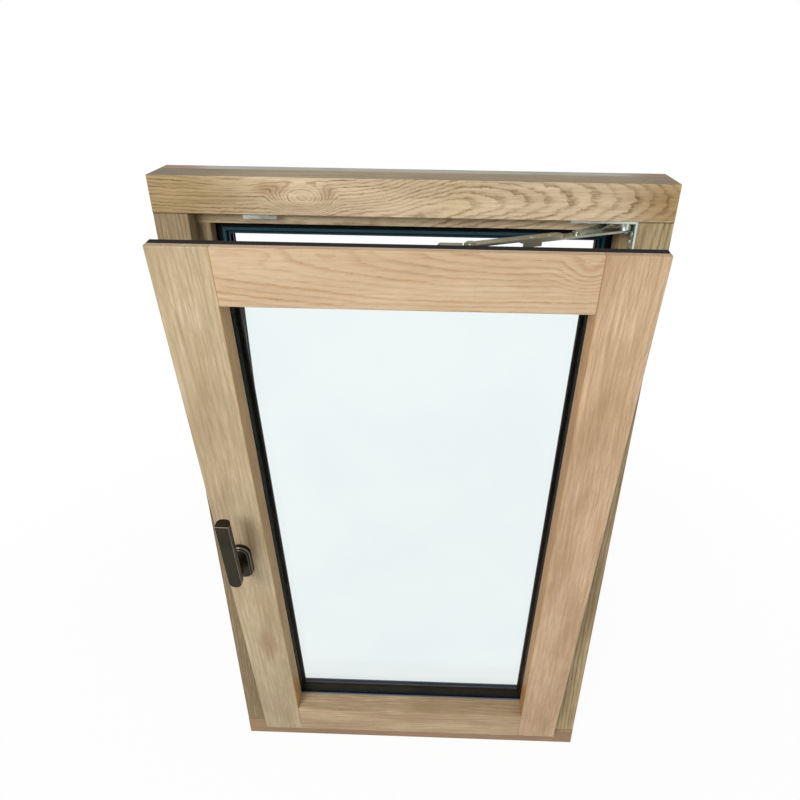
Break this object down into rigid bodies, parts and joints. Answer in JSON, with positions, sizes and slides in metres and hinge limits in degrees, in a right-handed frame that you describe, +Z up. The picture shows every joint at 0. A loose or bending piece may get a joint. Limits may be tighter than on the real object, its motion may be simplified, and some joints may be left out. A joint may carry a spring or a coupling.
{
  "type": "tilt and turn window",
  "caption": "Oak and black aluminium casement window with double glazing, tilted open on a scissor stay, with a turning handle.",
  "frame": {"origin": "middle of the sill's underside, half way through the frame's depth", "axes": "+X to the right as seen from the room, +Y outdoors, +Z up"},
  "size_m": [0.6, 0.1901, 1],
  "materials": {
    "oak": "clear satin oil on oak",
    "black_aluminium": "matt black powder coat",
    "black_rubber": "matt",
    "clear_glass": "clear, faint green",
    "zinc_steel": "zinc plated, satin",
    "dark_bronze": "dark bronze anodised, satin"
  },
  "bodies": {
    "window": {"bearing_pin": "zinc_steel", "corner_bearing": "zinc_steel", "frame_cladding_head": "black_aluminium", "frame_cladding_left_lower": "black_aluminium", "frame_cladding_left_upper": "black_aluminium", "frame_cladding_right_lower": "black_aluminium", "frame_cladding_right_upper": "black_aluminium", "frame_cladding_sill": "black_aluminium", "frame_head": "oak", "frame_jamb_left": "oak", "frame_jamb_right": "oak", "frame_seal": "black_rubber", "frame_sill": "oak", "gearbox": "zinc_steel", "glass_inner": "clear_glass", "glass_outer": "clear_glass", "glass_setting_blocks": "black_rubber", "glass_spacer": "black_aluminium", "glazing_seal_inner": "black_rubber", "glazing_seal_outer": "black_rubber", "handle_rosette": "dark_bronze", "jamb_strikers": "zinc_steel", "locking_cams": "zinc_steel", "locking_faceplate": "zinc_steel", "lower_bearing_frame": "zinc_steel", "lower_bearing_sash": "zinc_steel", "sash_bottom_rail": "oak", "sash_cladding_bottom": "black_aluminium", "sash_cladding_left": "black_aluminium", "sash_cladding_right": "black_aluminium", "sash_cladding_top": "black_aluminium", "sash_lip_seal": "black_rubber", "sash_stile_left": "oak", "sash_stile_right": "oak", "sash_top_rail": "oak", "slider_rivet": "zinc_steel", "stay_arm": "zinc_steel", "stay_extension": "zinc_steel", "stay_guide": "zinc_steel", "stay_link": "zinc_steel", "stay_slider": "zinc_steel", "tilt_keeper": "zinc_steel", "top_striker": "zinc_steel"},
    "handle": {"handle_lever": "dark_bronze", "handle_spindle": "zinc_steel"}
  },
  "joints": [
    {"name": "handle_turn", "type": "hinge", "parent": "window", "child": "handle", "pos_m": [-0.235, -0.08831, 0.49437], "axis": [0, 0.9928, 0.1198], "range_deg": [0, 180]}
  ]
}
